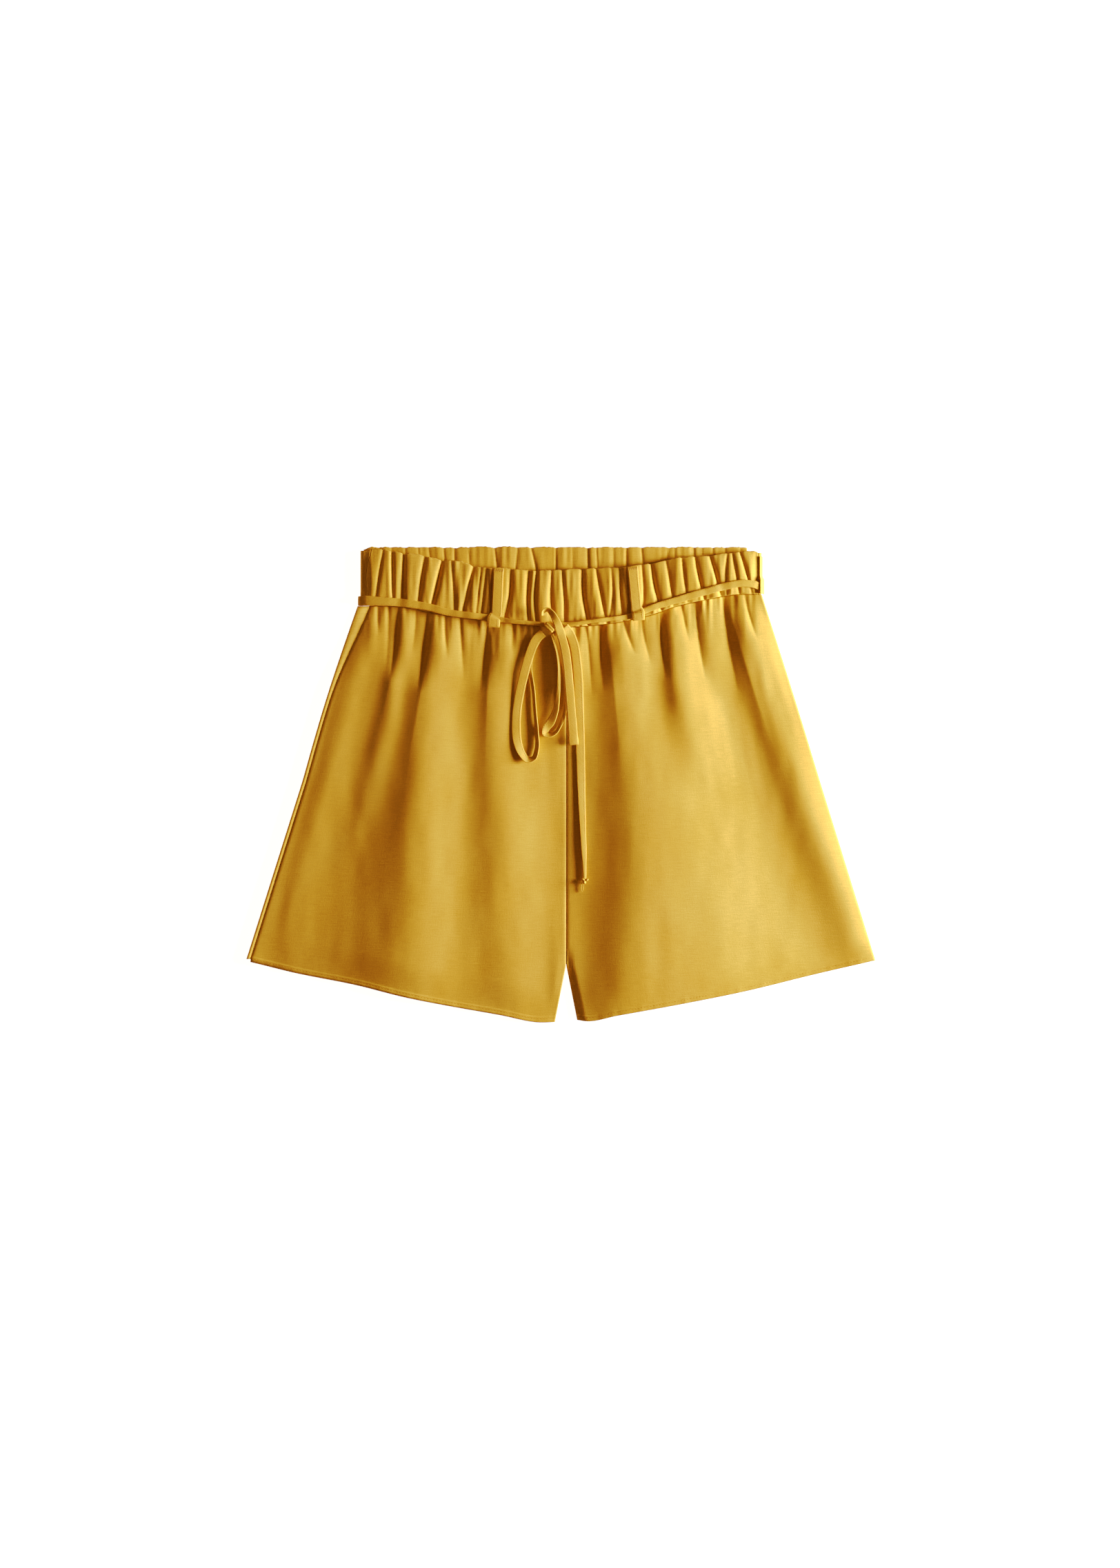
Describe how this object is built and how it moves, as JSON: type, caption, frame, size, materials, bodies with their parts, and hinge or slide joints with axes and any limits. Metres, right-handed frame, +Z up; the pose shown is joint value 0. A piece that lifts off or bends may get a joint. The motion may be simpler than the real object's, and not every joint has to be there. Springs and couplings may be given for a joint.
{
  "type": "linen shorts",
  "caption": "Pull-on linen shorts lying flat, front up: gathered elastic waistband, belt loops, a tape tie in a bow at the centre front and wide straight legs.",
  "frame": {"origin": "on the surface that the shorts lie on, under the centre of their outline", "axes": "+Z up out of the front of the shorts, +Y towards the waist, +X towards the wearer's left leg"},
  "size_m": [0.5462, 0.4136, 0.0186],
  "materials": {
    "linen": "plain-woven linen, slubby, matt, mustard yellow",
    "linen_band": "the same linen over elastic, gathered",
    "linen_tape": "the same linen cut on the bias and stitched as a flat tape"
  },
  "bodies": {
    "root": {"back_right_leg": "linen", "back_left_leg": "linen", "front_right_leg": "linen", "front_left_leg": "linen", "waistband_back": "linen_band", "waistband_front": "linen_band", "tie_front_right": "linen_tape", "tie_front_left": "linen_tape", "tie_back": "linen_tape", "tie_knot": "linen_tape", "tie_loop_left": "linen_tape", "tie_loop_middle": "linen_tape", "tie_tail_short": "linen_tape", "tie_tail_long": "linen_tape", "belt_loop_front_right": "linen_tape", "belt_loop_front_left": "linen_tape", "belt_loop_side_left": "linen_tape", "belt_loop_back_right": "linen_tape", "belt_loop_back_left": "linen_tape"}
  },
  "joints": []
}
